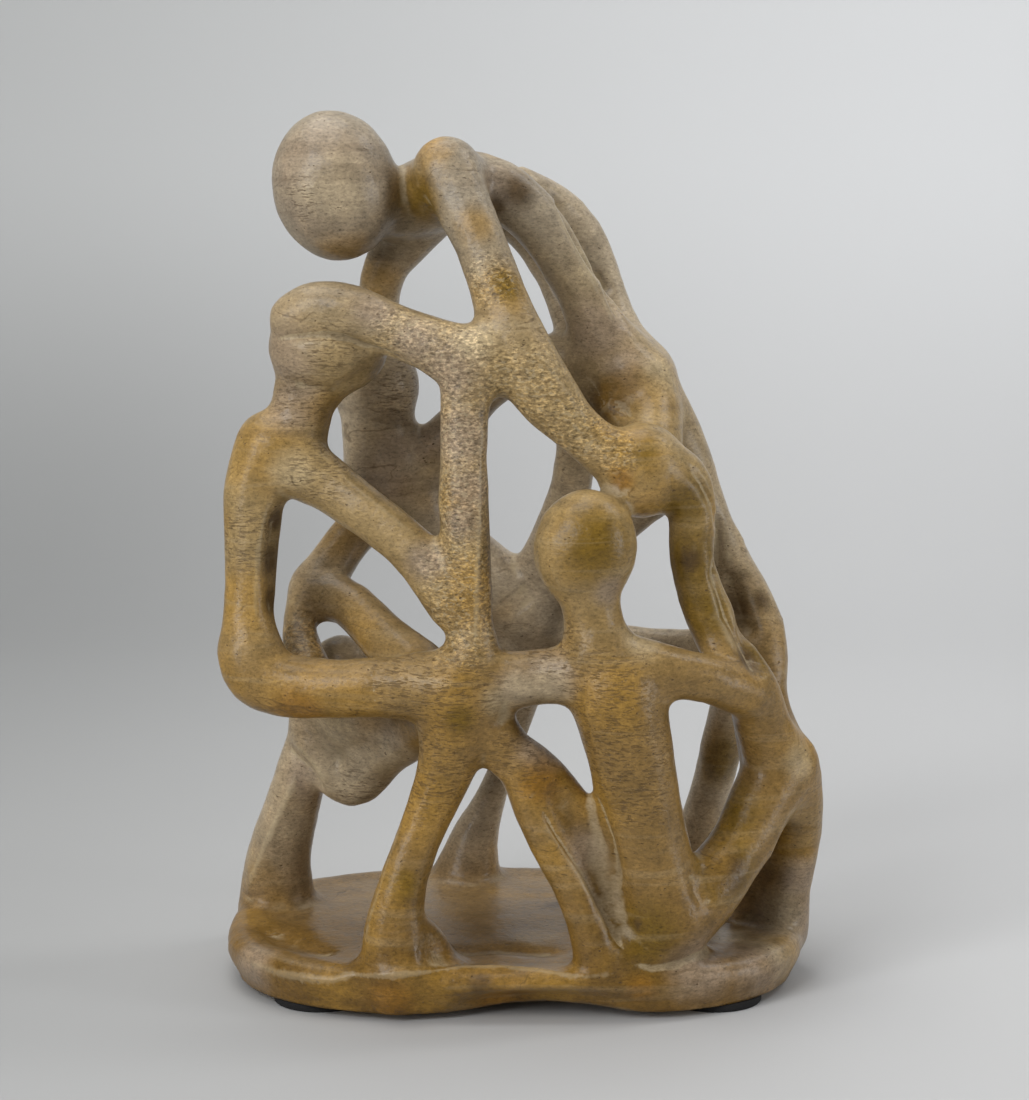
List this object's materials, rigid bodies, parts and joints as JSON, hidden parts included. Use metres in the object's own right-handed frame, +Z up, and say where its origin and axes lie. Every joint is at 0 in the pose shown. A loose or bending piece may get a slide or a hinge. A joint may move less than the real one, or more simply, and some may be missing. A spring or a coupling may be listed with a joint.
{
  "type": "family group sculpture",
  "caption": "Openwork soapstone carving of faceless, egg-headed figures linked arm in arm on a low oval base, with pads below.",
  "frame": {"origin": "centre of the part's box, on the surface that the pads rest on", "axes": "+Z up, +X to the viewer's right and -Y towards the viewer, who faces the kneeling child's back"},
  "size_m": [0.2408, 0.1602, 0.3463],
  "materials": {
    "soapstone": "hand-rubbed satin stone, cream to ochre, greyer at the back, finely pitted",
    "black_felt": "matt black felt"
  },
  "bodies": {
    "root": {"family_group": "soapstone", "pad_front_left": "black_felt", "pad_front_right": "black_felt", "pad_rear_left": "black_felt", "pad_rear_right": "black_felt"}
  },
  "joints": []
}
